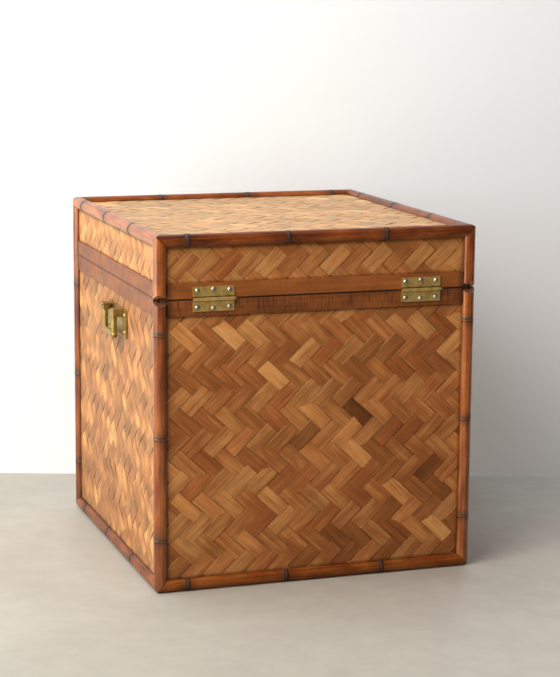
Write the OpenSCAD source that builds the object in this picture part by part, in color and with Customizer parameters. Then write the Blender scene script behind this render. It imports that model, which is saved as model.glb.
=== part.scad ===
// Bamboo-framed woven storage trunk with a hinged lid and a bail handle on each side.
// +Z is up, the hinges are on the +Y face, and the origin is at the middle of the base.

/* [Trunk] */
// Width over the corner rods
trunk_w = 492; // [400:1:600]
// Depth over the corner rods
trunk_d = 516; // [420:1:640]
// Height from the floor to the top of the lid's rods
trunk_h = 520; // [380:1:640]
// Height of the lid, from the seam to the top
lid_h = 93; // [80:1:140]
// Open seam between the lid's rim and the body's rim
seam_gap = 0.5; // [0.4:0.1:2]

/* [Bamboo rods] */
// Diameter over the node rings
rod_d = 20; // [19:0.5:26]
// Rise of a node ring above the plain rod
ring_rise = 0.35; // [0.2:0.05:0.8]
// Length of a node ring along its rod
ring_w = 6; // [3:0.5:10]
// Spacing of the node rings
ring_pitch = 150; // [100:1:200]
// Place of one ring on the back rods, from their middle
ring_back = 47; // [-75:1:75]
// Place of one ring on the front rods
ring_front = -51; // [-75:1:75]
// Place of one ring on the right rods
ring_right = -43; // [-75:1:75]
// Place of one ring on the left rods
ring_left = -40; // [-75:1:75]
// Height of the first ring on the corner rods
ring_upright = 78; // [40:1:140]
// Depth of the flat worn under the base rods
foot_flat = 0.4; // [0.2:0.1:1]
// Length of the bevel on the back corner rods at the seam
bevel_rise = 8.8; // [7:0.1:12]
// Depth that the same bevel reaches in from the back
bevel_run = 12.5; // [8:0.1:18]

/* [Walls] */
// Height of the rods above the woven faces
rod_proud = 7.8; // [6:0.1:9]
// Thickness of the woven mat
mat_t = 2.3; // [1.5:0.1:3]
// Thickness of the plywood walls
panel_t = 6; // [5:0.5:12]
// Thickness of the flat bands along the seam
band_t = 4.7; // [4:0.1:5.5]
// Height of the lid's bands
lid_band_h = 22.5; // [21:0.5:30]
// Height of the body's bands
body_band_h = 24; // [21:0.5:40]
// Space between the end of a band and the corner rod
band_end_gap = 0.2; // [0.1:0.1:2]

/* [Hinges] */
// From the side of the trunk to the end of a hinge
hinge_in = 57; // [30:1:90]
// Length of a hinge
hinge_len = 61; // [50:1:80]
// Width of an open hinge over both leaves
hinge_open_w = 35.8; // [34:0.2:40]
// Thickness of a leaf
leaf_t = 1.5; // [1:0.1:2]
// Diameter of the barrel
barrel_d = 5.4; // [4:0.1:5.6]
// Diameter of the pin
pin_d = 2.6; // [2:0.1:3]
// Radial clearance of the pin in its knuckles
pin_clear = 0.05; // [0.02:0.01:0.1]
// Length of the pin that shows at one end
pin_out = 2.6; // [1:0.1:5]
// Knuckles in a barrel
knuckles = 5; // [3:2:7]
// Space between two knuckles
knuckle_gap = 0.4; // [0.3:0.1:1]
// Space between the barrel and what it turns past
barrel_gap = 0.3; // [0.3:0.1:1]

/* [Screws] */
// Diameter of a screw's domed head
head_d = 7.6; // [5:0.1:8]
// Height of the head
head_h = 2.4; // [1.5:0.1:3]
// Width of the slot in the head
slot_w = 0.9; // [0.6:0.1:1.5]
// Depth of the slot
slot_depth = 0.8; // [0.4:0.1:1.2]
// Diameter of the shank
shank_d = 3; // [2:0.1:4]
// Length of the shank
shank_len = 9; // [6:0.1:9.5]
// Radial clearance of a shank in its hole
shank_clear = 0.05; // [0.02:0.01:0.2]
// From the ends of a leaf to its outer screws
leaf_screw_in = 6.6; // [4.5:0.1:9]
// From the long edge of a leaf to its outer screws
leaf_screw_up = 5.8; // [5.5:0.1:7]
// How much nearer to that edge the middle screw is
leaf_stagger = 1.5; // [0:0.1:1.8]

/* [Handles] */
// From the middle of a side back to the middle of its handle
handle_back = 19; // [0:1:60]
// Length of a handle's plate
plate_len = 112; // [106:1:160]
// Height of the plate
plate_h = 44; // [43:1:60]
// Thickness of the plate
plate_t = 2.5; // [1.5:0.1:4]
// Radius of the plate's corners
plate_corner = 6; // [2:0.5:8]
// From the plate's edges to its screws
plate_screw_in = 9; // [6:0.5:10]
// From the body's band down to the plate
plate_drop = 18; // [4:0.5:60]
// Distance between the middles of the two lugs
lug_spread = 72; // [60:1:76]
// Width of a lug
lug_w = 9; // [6:0.5:10]
// Wall of a lug around its bore
lug_wall = 2; // [1.5:0.1:3]
// From the face of the plate out to the pivot
lug_reach = 11; // [8:0.5:16]
// Height of the pivot above the middle of the plate
pivot_rise = 14.5; // [8:0.5:14.5]
// Diameter of the bail's arms
bail_bar = 8.5; // [6:0.5:10]
// Diameter of the bail's grip
grip_d = 10; // [8:0.5:14]
// From the pivot down to the middle of the grip
bail_drop = 33.5; // [28:0.5:50]
// Space that the bail keeps from the plate, the lugs and the hoods
bail_gap = 0.5; // [0.3:0.1:1]
// Diameter of the bail's trunnions
trunnion_d = 5; // [4:0.1:5.5]
// Radial clearance of a trunnion in its lug
trunnion_clear = 0.05; // [0.02:0.01:0.1]
// Thickness of the hood that stops the bail
hood_t = 2.2; // [1.5:0.1:3]

/* [Hidden] */
$fn = 64;
rod_r = rod_d / 2;
base_z = -foot_flat;
seam_z = trunk_h - lid_h;
body_top = seam_z - seam_gap / 2;
lid_bottom = seam_z + seam_gap / 2;

// Faces of the woven box, measured from the middle of the trunk
mat_x = trunk_w / 2 - rod_proud;
mat_y = trunk_d / 2 - rod_proud;
mat_top = trunk_h - rod_proud;
mat_bottom = base_z + rod_proud;
panel_x = mat_x - mat_t;
panel_y = mat_y - mat_t;
panel_top = mat_top - mat_t;
band_x = panel_x + band_t;
band_y = panel_y + band_t;

// Where a rod meets the woven face, from the outside of the trunk
rod_dip = min(rod_proud, rod_r);
rod_edge = rod_r + sqrt(rod_r * rod_r - (rod_r - rod_dip) * (rod_r - rod_dip));
band_end = rod_edge + band_end_gap;

hinge_spread = trunk_w - 2 * hinge_in - hinge_len;
hinge_y = band_y + barrel_gap + barrel_d / 2;
leaf_in = barrel_d / 2 + barrel_gap;
leaf_out = hinge_open_w / 2;
knuckle_pitch = hinge_len / knuckles;

plate_z = body_top - body_band_h - plate_drop - plate_h / 2;
pivot_z = plate_z + pivot_rise;
pivot_x = mat_x + plate_t + lug_reach;
lug_r = trunnion_d / 2 + lug_wall;
arm_y = lug_spread / 2 - lug_w / 2 - bail_gap - bail_bar / 2;
hood_z = pivot_z + bail_bar / 2 + bail_gap;

// Overlap of a cutting tool past the face that it cuts
cut = 1;

bamboo = "#9c5a32";
mat = "#b5763f";
plywood = "#c9a274";
slat = "#8c4f30";
brass = "#a58b4a";
nickel = "#c8c4b8";

// A box from its lowest corner to its highest
module block(low, high) {
    translate(low) cube(high - low);
}

// Shapes made for the +X or +Y side, put on the side that is asked for
module on_side(sx, sy) {
    mirror([sx < 0 ? 1 : 0, 0, 0]) mirror([0, sy < 0 ? 1 : 0, 0]) children();
}

// Bamboo rods

// A rod along +Z from the origin with a raised ring at each of the given heights
module bamboo_stick(length, rings) {
    plain = rod_r - ring_rise;
    cylinder(h = length, r = plain);
    for (z = rings)
        translate([0, 0, z])
            rotate_extrude()
                polygon([
                    [0, -ring_w / 2], [plain, -ring_w / 2], [rod_r, -ring_w / 6],
                    [rod_r, ring_w / 6], [plain, ring_w / 2], [0, ring_w / 2]
                ]);
}

// Places of the rings along a rod of this length, counted from its middle
function rings_along(length, first) = [
    for (k = [-5:5])
        let (p = first + k * ring_pitch)
            if (abs(p) < length / 2 - rod_d - ring_w) p + length / 2
];

// Places of the rings up a corner rod
function rings_up(length) = [
    for (k = [0:5])
        let (p = ring_upright + k * ring_pitch)
            if (p < length - bevel_rise - ring_w) p
];

// The woven box that the rods are notched to sit over
module woven_box() {
    block([-mat_x, -mat_y, mat_bottom], [mat_x, mat_y, mat_top]);
}

// An outline with 45 degree ends, for the mitres of an edge rod
module mitred_outline(length) {
    polygon([
        [-length / 2, 0], [length / 2, 0],
        [length / 2 - rod_d, rod_d], [-length / 2 + rod_d, rod_d]
    ]);
}

// An edge rod along X, with the trunk's two outer faces at y = 0 and z = 0
module edge_rod(length, first_ring) {
    intersection() {
        translate([-length / 2, rod_r, rod_r])
            rotate([0, 90, 0]) bamboo_stick(length, rings_along(length, first_ring));
        linear_extrude(rod_d) mitred_outline(length);
        rotate([90, 0, 0]) translate([0, 0, -rod_d]) linear_extrude(rod_d) mitred_outline(length);
    }
}

// A front or back edge rod, at the base or on top of the lid
module edge_rod_x(sy, top, first_ring) {
    difference() {
        translate([0, sy * trunk_d / 2, top ? trunk_h : base_z])
            mirror([0, sy > 0 ? 1 : 0, 0])
                mirror([0, 0, top ? 1 : 0])
                    edge_rod(trunk_w, first_ring);
        woven_box();
        floor_cut();
    }
}

// A left or right edge rod, at the base or on top of the lid
module edge_rod_y(sx, top, first_ring) {
    difference() {
        translate([sx * trunk_w / 2, 0, top ? trunk_h : base_z])
            rotate([0, 0, sx * 90])
                mirror([0, 0, top ? 1 : 0])
                    edge_rod(trunk_d, sx * first_ring);
        woven_box();
        floor_cut();
    }
}

// Everything below the floor, which leaves the flats that the trunk stands on
module floor_cut() {
    block([-trunk_w, -trunk_d, -rod_d], [trunk_w, trunk_d, 0]);
}

// An outline with one 45 degree end, for the mitres of a corner rod
module upright_outline(length) {
    polygon([[0, 0], [rod_d, rod_d], [rod_d, length], [0, length]]);
}

// A corner rod from the outer corner at the origin up to the seam
module upright(length, rings, bevelled) {
    difference() {
        intersection() {
            translate([rod_r, rod_r, 0]) bamboo_stick(length, rings);
            rotate([90, 0, 0]) translate([0, 0, -rod_d]) linear_extrude(rod_d) upright_outline(length);
            rotate([90, 0, 90]) linear_extrude(rod_d) upright_outline(length);
        }
        if (bevelled)
            translate([-cut, 0, 0])
                rotate([90, 0, 90])
                    linear_extrude(rod_d + 2 * cut)
                        polygon([
                            [-cut, length + cut],
                            [-cut, length - bevel_rise * (1 + cut / bevel_run)],
                            [bevel_run, length], [bevel_run, length + cut]
                        ]);
    }
}

module body_corner(sx, sy) {
    length = body_top - base_z;
    difference() {
        translate([sx * trunk_w / 2, sy * trunk_d / 2, base_z])
            mirror([sx > 0 ? 1 : 0, 0, 0]) mirror([0, sy > 0 ? 1 : 0, 0])
                upright(length, rings_up(length), sy > 0);
        woven_box();
    }
}

module lid_corner(sx, sy) {
    length = trunk_h - lid_bottom;
    difference() {
        translate([sx * trunk_w / 2, sy * trunk_d / 2, trunk_h])
            mirror([sx > 0 ? 1 : 0, 0, 0]) mirror([0, sy > 0 ? 1 : 0, 0]) mirror([0, 0, 1])
                upright(length, [], sy > 0);
        woven_box();
    }
}

// Walls, mats and bands

// A front or back layer of the wall, between two distances from the middle
module layer_x(sy, half_x, inner, outer, low, high) {
    on_side(1, sy) block([-half_x, inner, low], [half_x, outer, high]);
}

// A left or right layer of the wall
module layer_y(sx, half_y, inner, outer, low, high) {
    on_side(sx, 1) block([inner, -half_y, low], [outer, half_y, high]);
}

module panel_front_back(sy, low, high) {
    difference() {
        layer_x(sy, panel_x, panel_y - panel_t, panel_y, low, high);
        if (sy > 0) hinge_holes();
    }
}

module panel_side(sx, low, high) {
    difference() {
        layer_y(sx, panel_y - panel_t, panel_x - panel_t, panel_x, low, high);
        handle_holes(sx);
    }
}

module mat_front_back(sy, low, high) {
    layer_x(sy, mat_x, panel_y, mat_y, low, high);
}

module mat_side(sx, low, high) {
    difference() {
        layer_y(sx, panel_y, panel_x, mat_x, low, high);
        handle_holes(sx);
    }
}

module band_front_back(sy, low, high) {
    difference() {
        layer_x(sy, trunk_w / 2 - band_end, panel_y, band_y, low, high);
        if (sy > 0) hinge_holes();
    }
}

module band_side(sx, low, high) {
    layer_y(sx, trunk_d / 2 - band_end, panel_x, band_x, low, high);
}

// Screws

// A slotted dome-head screw that points along -Z, with the seat of its head at z = 0
module screw() {
    dome_r = (head_d * head_d / 4 + head_h * head_h) / (2 * head_h);
    translate([0, 0, -shank_len]) cylinder(h = shank_len + (head_h - slot_depth) / 2, d = shank_d);
    difference() {
        intersection() {
            translate([0, 0, head_h - dome_r]) sphere(dome_r);
            cylinder(h = head_h, d = head_d);
        }
        block([-head_d, -slot_w / 2, head_h - slot_depth], [head_d, slot_w / 2, head_h + cut]);
    }
}

// The hole that a screw's shank goes into
module screw_hole() {
    depth = shank_len + shank_clear;
    translate([0, 0, -depth]) cylinder(h = depth + cut, r = shank_d / 2 + shank_clear);
}

// Places of the three screws in a leaf, from the middle of the hinge and up from the seam
function leaf_screws() = [
    for (k = [-1:1]) [
        k * (hinge_len / 2 - leaf_screw_in),
        leaf_out - leaf_screw_up + (k == 0 ? leaf_stagger : 0)
    ]
];

// Children at each hinge screw of the lid (up = 1) or of the body (up = -1), facing +Y
module at_leaf_screws(up) {
    for (side = [-1, 1], p = leaf_screws())
        translate([side * hinge_spread / 2 + p[0], band_y + leaf_t, seam_z + up * p[1]])
            rotate([-90, 0, 0]) children();
}

module hinge_holes() {
    at_leaf_screws(1) screw_hole();
    at_leaf_screws(-1) screw_hole();
}

// Children at the four screws of one handle's plate, facing outwards
module at_plate_screws(sx) {
    for (y = [-1, 1], z = [-1, 1])
        on_side(sx, 1)
            translate([
                mat_x + plate_t,
                handle_back + y * (plate_len / 2 - plate_screw_in),
                plate_z + z * (plate_h / 2 - plate_screw_in)
            ])
                rotate([0, 90, 0]) children();
}

module handle_holes(sx) {
    at_plate_screws(sx) screw_hole();
}

// Hinges

// One leaf with every second knuckle: the body's (up = -1) has the first and the last
module hinge_leaf(side, up) {
    x0 = side * hinge_spread / 2 - hinge_len / 2;
    first = up < 0 ? 0 : 1;
    difference() {
        union() {
            translate([0, 0, seam_z]) mirror([0, 0, up < 0 ? 1 : 0]) {
                block([x0, band_y, leaf_in], [x0 + hinge_len, band_y + leaf_t, leaf_out]);
                for (k = [first : 2 : knuckles - 1])
                    block(
                        [x0 + k * knuckle_pitch + knuckle_gap / 2, band_y, barrel_d / 4],
                        [x0 + (k + 1) * knuckle_pitch - knuckle_gap / 2, band_y + leaf_t, leaf_in + cut]
                    );
            }
            for (k = [first : 2 : knuckles - 1])
                translate([x0 + k * knuckle_pitch + knuckle_gap / 2, hinge_y, seam_z])
                    rotate([0, 90, 0]) cylinder(h = knuckle_pitch - knuckle_gap, d = barrel_d);
        }
        translate([x0 - cut, hinge_y, seam_z])
            rotate([0, 90, 0]) cylinder(h = hinge_len + 2 * cut, r = pin_d / 2 + pin_clear);
        at_leaf_screws(up) screw_hole();
    }
}

module hinge_pin(side) {
    x0 = side * hinge_spread / 2 - hinge_len / 2;
    translate([x0 - pin_out, hinge_y, seam_z])
        rotate([0, 90, 0]) cylinder(h = hinge_len + pin_out - knuckle_gap, d = pin_d);
}

// Handles

// The plate's outline, in Y and Z about its middle
module plate_outline() {
    square([plate_len - 2 * plate_corner, plate_h], center = true);
    square([plate_len, plate_h - 2 * plate_corner], center = true);
    for (y = [-1, 1], z = [-1, 1])
        translate([y * (plate_len / 2 - plate_corner), z * (plate_h / 2 - plate_corner)])
            circle(plate_corner);
}

// One lug with the hood that the bail's arm comes up against
module lug(sy) {
    inner = lug_spread / 2 - lug_w / 2;
    mirror([0, sy < 0 ? 1 : 0, 0]) {
        difference() {
            union() {
                block([mat_x, inner, pivot_z - lug_r], [pivot_x, inner + lug_w, pivot_z + lug_r]);
                block([mat_x, inner, pivot_z], [pivot_x + lug_r, inner + lug_w, hood_z + hood_t]);
                translate([pivot_x, inner, pivot_z])
                    rotate([-90, 0, 0]) cylinder(h = lug_w, r = lug_r);
            }
            translate([pivot_x, inner - cut, pivot_z])
                rotate([-90, 0, 0]) cylinder(h = lug_w + 2 * cut, r = trunnion_d / 2 + trunnion_clear);
        }
        block(
            [mat_x, arm_y - bail_bar / 2, hood_z],
            [pivot_x + lug_r, inner + cut, hood_z + hood_t]
        );
    }
}

module handle_plate(sx) {
    on_side(sx, 1) {
        difference() {
            translate([mat_x, handle_back, plate_z])
                rotate([90, 0, 90]) linear_extrude(plate_t) plate_outline();
            handle_holes(1);
        }
        translate([0, handle_back, 0]) {
            lug(1);
            lug(-1);
        }
    }
}

module bail(sx) {
    translate([sx * pivot_x, handle_back, pivot_z]) {
        for (s = [-1, 1]) translate([0, s * arm_y, 0]) {
            rotate([90, 0, 0]) cylinder(h = bail_bar, d = bail_bar, center = true);
            rotate([-s * 90, 0, 0]) cylinder(h = lug_spread / 2 + lug_w / 2 - arm_y, d = trunnion_d);
            translate([0, 0, -bail_drop]) cylinder(h = bail_drop, d = bail_bar);
            translate([0, 0, -bail_drop]) sphere(d = grip_d);
        }
        translate([0, 0, -bail_drop]) rotate([90, 0, 0]) cylinder(h = 2 * arm_y, d = grip_d, center = true);
    }
}

// Heights of the layers on the body and on the lid
body_mat_top = body_top - body_band_h;
lid_mat_bottom = lid_bottom + lid_band_h;
lid_wall_top = panel_top - panel_t;

module floor_panel()
    color(plywood)
        block(
            [-panel_x + panel_t, -panel_y + panel_t, mat_bottom],
            [panel_x - panel_t, panel_y - panel_t, mat_bottom + panel_t]
        );
module front_panel() color(plywood) panel_front_back(-1, mat_bottom, body_top);
module back_panel() color(plywood) panel_front_back(1, mat_bottom, body_top);
module left_panel() color(plywood) panel_side(-1, mat_bottom, body_top);
module right_panel() color(plywood) panel_side(1, mat_bottom, body_top);
module front_weave() color(mat) mat_front_back(-1, mat_bottom, body_mat_top);
module back_weave() color(mat) mat_front_back(1, mat_bottom, body_mat_top);
module left_weave() color(mat) mat_side(-1, mat_bottom, body_mat_top);
module right_weave() color(mat) mat_side(1, mat_bottom, body_mat_top);
module corner_rod_front_left() color(bamboo) body_corner(-1, -1);
module corner_rod_front_right() color(bamboo) body_corner(1, -1);
module corner_rod_back_left() color(bamboo) body_corner(-1, 1);
module corner_rod_back_right() color(bamboo) body_corner(1, 1);
module base_rod_front() color(bamboo) edge_rod_x(-1, false, ring_front);
module base_rod_back() color(bamboo) edge_rod_x(1, false, ring_back);
module base_rod_left() color(bamboo) edge_rod_y(-1, false, ring_left);
module base_rod_right() color(bamboo) edge_rod_y(1, false, ring_right);
module body_band_front() color(slat) band_front_back(-1, body_mat_top, body_top);
module body_band_back() color(slat) band_front_back(1, body_mat_top, body_top);
module body_band_left() color(slat) band_side(-1, body_mat_top, body_top);
module body_band_right() color(slat) band_side(1, body_mat_top, body_top);
module hinge_lower_leaf_left() color(brass) hinge_leaf(-1, -1);
module hinge_lower_leaf_right() color(brass) hinge_leaf(1, -1);
module hinge_pin_left() color(brass) hinge_pin(-1);
module hinge_pin_right() color(brass) hinge_pin(1);
module hinge_screws_lower() color(nickel) at_leaf_screws(-1) screw();
module handle_plate_left() color(brass) handle_plate(-1);
module handle_plate_right() color(brass) handle_plate(1);
module handle_screws() color(nickel) {
    at_plate_screws(-1) screw();
    at_plate_screws(1) screw();
}
module lid_top_panel()
    color(plywood) block([-panel_x, -panel_y, lid_wall_top], [panel_x, panel_y, panel_top]);
module lid_front_panel() color(plywood) panel_front_back(-1, lid_bottom, lid_wall_top);
module lid_back_panel() color(plywood) panel_front_back(1, lid_bottom, lid_wall_top);
module lid_left_panel() color(plywood) panel_side(-1, lid_bottom, lid_wall_top);
module lid_right_panel() color(plywood) panel_side(1, lid_bottom, lid_wall_top);
module lid_top_weave() color(mat) block([-panel_x, -panel_y, panel_top], [panel_x, panel_y, mat_top]);
module lid_front_weave() color(mat) mat_front_back(-1, lid_mat_bottom, mat_top);
module lid_back_weave() color(mat) mat_front_back(1, lid_mat_bottom, mat_top);
module lid_left_weave() color(mat) mat_side(-1, lid_mat_bottom, mat_top);
module lid_right_weave() color(mat) mat_side(1, lid_mat_bottom, mat_top);
module lid_rod_front() color(bamboo) edge_rod_x(-1, true, ring_front);
module lid_rod_back() color(bamboo) edge_rod_x(1, true, ring_back);
module lid_rod_left() color(bamboo) edge_rod_y(-1, true, ring_left);
module lid_rod_right() color(bamboo) edge_rod_y(1, true, ring_right);
module lid_corner_front_left() color(bamboo) lid_corner(-1, -1);
module lid_corner_front_right() color(bamboo) lid_corner(1, -1);
module lid_corner_back_left() color(bamboo) lid_corner(-1, 1);
module lid_corner_back_right() color(bamboo) lid_corner(1, 1);
module lid_band_front() color(slat) band_front_back(-1, lid_bottom, lid_mat_bottom);
module lid_band_back() color(slat) band_front_back(1, lid_bottom, lid_mat_bottom);
module lid_band_left() color(slat) band_side(-1, lid_bottom, lid_mat_bottom);
module lid_band_right() color(slat) band_side(1, lid_bottom, lid_mat_bottom);
module hinge_upper_leaf_left() color(brass) hinge_leaf(-1, 1);
module hinge_upper_leaf_right() color(brass) hinge_leaf(1, 1);
module hinge_screws_upper() color(nickel) at_leaf_screws(1) screw();
module handle_bail_left() color(brass) bail(-1);
module handle_bail_right() color(brass) bail(1);

floor_panel();
front_panel();
back_panel();
left_panel();
right_panel();
front_weave();
back_weave();
left_weave();
right_weave();
corner_rod_front_left();
corner_rod_front_right();
corner_rod_back_left();
corner_rod_back_right();
base_rod_front();
base_rod_back();
base_rod_left();
base_rod_right();
body_band_front();
body_band_back();
body_band_left();
body_band_right();
hinge_lower_leaf_left();
hinge_lower_leaf_right();
hinge_pin_left();
hinge_pin_right();
hinge_screws_lower();
handle_plate_left();
handle_plate_right();
handle_screws();
lid_top_panel();
lid_front_panel();
lid_back_panel();
lid_left_panel();
lid_right_panel();
lid_top_weave();
lid_front_weave();
lid_back_weave();
lid_left_weave();
lid_right_weave();
lid_rod_front();
lid_rod_back();
lid_rod_left();
lid_rod_right();
lid_corner_front_left();
lid_corner_front_right();
lid_corner_back_left();
lid_corner_back_right();
lid_band_front();
lid_band_back();
lid_band_left();
lid_band_right();
hinge_upper_leaf_left();
hinge_upper_leaf_right();
hinge_screws_upper();
handle_bail_left();
handle_bail_right();
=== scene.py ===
"""Looks of the woven storage trunk: split-bamboo mats, bamboo rods, wooden bands and brass hardware."""

import math
import random

import bmesh
import bpy
import numpy as np
from mathutils import Matrix, Vector, noise


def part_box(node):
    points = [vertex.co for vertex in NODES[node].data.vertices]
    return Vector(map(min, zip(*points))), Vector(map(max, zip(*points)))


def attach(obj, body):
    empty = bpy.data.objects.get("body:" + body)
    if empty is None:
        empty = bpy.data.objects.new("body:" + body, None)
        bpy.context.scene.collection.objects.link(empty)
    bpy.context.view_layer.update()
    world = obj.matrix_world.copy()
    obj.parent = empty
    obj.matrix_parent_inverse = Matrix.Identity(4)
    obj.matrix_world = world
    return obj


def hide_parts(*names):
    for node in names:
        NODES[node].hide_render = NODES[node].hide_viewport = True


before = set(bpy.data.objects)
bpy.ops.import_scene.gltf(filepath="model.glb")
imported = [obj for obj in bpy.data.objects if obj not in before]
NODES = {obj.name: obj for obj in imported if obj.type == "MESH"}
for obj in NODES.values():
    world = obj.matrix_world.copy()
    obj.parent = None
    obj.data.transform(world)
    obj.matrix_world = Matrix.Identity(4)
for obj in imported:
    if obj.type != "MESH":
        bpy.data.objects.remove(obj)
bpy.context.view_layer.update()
MM = 0.001
X, Y, Z = Vector((1, 0, 0)), Vector((0, 1, 0)), Vector((0, 0, 1))
TURN = 6.28                    # about a full turn, for random phases


# Sizes taken from the frame, in mm

def reach(node, axis, top):
    """Lowest or highest coordinate of a CAD node along an axis."""
    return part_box(node)[1 if top else 0].dot(axis) / MM


HALF_W = reach("base_rod_right", X, True)
HALF_D = reach("base_rod_back", Y, True)
SEAT = HALF_W - reach("right_weave", X, True)            # height of the rods above the mats
FOOT = SEAT - reach("back_weave", Z, False)              # flat worn into the underside of the base rods
HEIGHT = reach("lid_top_weave", Z, True) + SEAT
BODY_TOP = reach("body_band_back", Z, True)
LID_BOTTOM = reach("lid_band_back", Z, False)
SEAM = (BODY_TOP + LID_BOTTOM) / 2
PANEL_X, PANEL_Y = reach("right_weave", X, False), reach("back_weave", Y, False)

ROD_EDGE = HALF_W - reach("corner_rod_back_right", X, False)   # from a rod's outside to where it meets a mat
ROD_R = ROD_EDGE + SEAT - math.sqrt(2 * ROD_EDGE * SEAT)       # over the node swellings


# Node graphs

class Graph:
    """A material's node tree, with short calls for the nodes used here."""

    def __init__(self, name):
        self.mat = bpy.data.materials.new(name)
        self.mat.use_nodes = True
        self.tree = self.mat.node_tree
        self.tree.nodes.clear()
        self.out = self.add("ShaderNodeOutputMaterial")
        self.bsdf = self.add("ShaderNodeBsdfPrincipled")
        self.link(self.bsdf.outputs[0], self.out.inputs["Surface"])

    def add(self, kind, **props):
        node = self.tree.nodes.new(kind)
        for key, value in props.items():
            setattr(node, key, value)
        return node

    def link(self, a, b):
        self.tree.links.new(a, b)

    def put(self, socket, value):
        """A number, colour or another node's output goes into the socket."""
        if isinstance(value, bpy.types.NodeSocket):
            self.link(value, socket)
        elif hasattr(socket.default_value, "__len__"):
            n = len(socket.default_value)
            value = tuple(value) if hasattr(value, "__len__") else (value,) * 3
            socket.default_value = (value + (1.0,))[:n] if len(value) < n else value[:n]
        else:
            socket.default_value = value

    def attr(self, name, output="Vector"):
        return self.add("ShaderNodeAttribute", attribute_name=name).outputs[output]

    def position(self):
        return self.add("ShaderNodeTexCoord").outputs["Object"]

    def height(self):
        return self.split(self.position())[2]

    def facing_up(self):
        """How far the surface faces up, from -1 to 1."""
        return self.split(self.add("ShaderNodeTexCoord").outputs["Normal"])[2]

    def math(self, op, a, b=0.0):
        node = self.add("ShaderNodeMath", operation=op)
        self.put(node.inputs[0], a)
        self.put(node.inputs[1], b)
        return node.outputs[0]

    def plus(self, *values):
        total = values[0]
        for value in values[1:]:
            total = self.math("ADD", total, value)
        return total

    def times(self, *values):
        product = values[0]
        for value in values[1:]:
            product = self.math("MULTIPLY", product, value)
        return product

    def size(self, value):
        return self.math("ABSOLUTE", value)

    def off(self, value, centre):
        """How far a value is from a centre, either way."""
        return self.size(self.math("SUBTRACT", value, centre))

    def above(self, value, limit):
        return self.math("GREATER_THAN", value, limit)

    def fit(self, value, low, high, to_low=0.0, to_high=1.0, smooth=False):
        """The value moved from one range to another, and held at its ends."""
        node = self.add("ShaderNodeMapRange", clamp=True)
        node.interpolation_type = "SMOOTHSTEP" if smooth else "LINEAR"
        for socket, v in zip(node.inputs, (value, low, high, to_low, to_high)):
            self.put(socket, v)
        return node.outputs[0]

    def vary(self, value, amount, reach=0.2):
        """A noise as a change, up and down by the amount where it is the reach or more off its middle."""
        return self.fit(value, 0.5 - reach, 0.5 + reach, -amount, amount)

    def xyz(self, x, y, z):
        node = self.add("ShaderNodeCombineXYZ")
        for socket, v in zip(node.inputs, (x, y, z)):
            self.put(socket, v)
        return node.outputs[0]

    def split(self, vector):
        node = self.add("ShaderNodeSeparateXYZ")
        self.put(node.inputs[0], vector)
        return node.outputs

    def scaled(self, vector, factors):
        node = self.add("ShaderNodeVectorMath", operation="MULTIPLY")
        self.put(node.inputs[0], vector)
        self.put(node.inputs[1], factors)
        return node.outputs[0]

    def noise(self, vector, scale, detail=3.0, rough=0.55, distortion=0.0):
        """Cloudy noise, finer as the scale grows, which may be three numbers for the three axes."""
        if isinstance(scale, tuple):
            vector, scale = self.scaled(vector, scale), 1.0
        node = self.add("ShaderNodeTexNoise")
        self.put(node.inputs["Vector"], vector)
        self.put(node.inputs["Scale"], scale)
        self.put(node.inputs["Detail"], detail)
        self.put(node.inputs["Roughness"], rough)
        self.put(node.inputs["Distortion"], distortion)
        return node.outputs[0]

    def ramp(self, value, stops):
        node = self.add("ShaderNodeValToRGB")
        ramp = node.color_ramp
        while len(ramp.elements) < len(stops):
            ramp.elements.new(0.5)
        for element, (at, colour) in zip(ramp.elements, stops):
            element.position = at
            element.color = (*colour, 1.0)
        self.put(node.inputs[0], value)
        return node.outputs[0]

    def mix(self, factor, a, b, how="MIX"):
        node = self.add("ShaderNodeMix", data_type="RGBA", blend_type=how)
        self.put(node.inputs[0], factor)
        self.put(node.inputs[6], a)
        self.put(node.inputs[7], b)
        return node.outputs[2]

    def shade(self, colour, *factors):
        """The colour multiplied by numbers."""
        node = self.add("ShaderNodeVectorMath", operation="SCALE")
        self.put(node.inputs[0], colour)
        self.put(node.inputs["Scale"], self.times(*factors))
        return node.outputs[0]

    def bump(self, height, strength, distance):
        node = self.add("ShaderNodeBump")
        self.put(node.inputs["Strength"], strength)
        self.put(node.inputs["Distance"], distance)
        self.put(node.inputs["Height"], height)
        self.link(node.outputs[0], self.bsdf.inputs["Normal"])

    def surface(self, **values):
        """The finished material, with values under short names."""
        names = {
            "colour": "Base Color", "rough": "Roughness", "metal": "Metallic",
            "specular": "Specular IOR Level", "aniso": "Anisotropic", "aniso_turn": "Anisotropic Rotation",
            "coat": "Coat Weight", "coat_rough": "Coat Roughness",
            "sheen": "Sheen Weight", "sheen_rough": "Sheen Roughness", "sheen_tint": "Sheen Tint",
            "glow": "Emission Strength", "glow_colour": "Emission Color",
        }
        for key, value in values.items():
            self.put(self.bsdf.inputs[names[key]], value)
        return self.mat


# Colours, with each range from dark to pale

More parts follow.
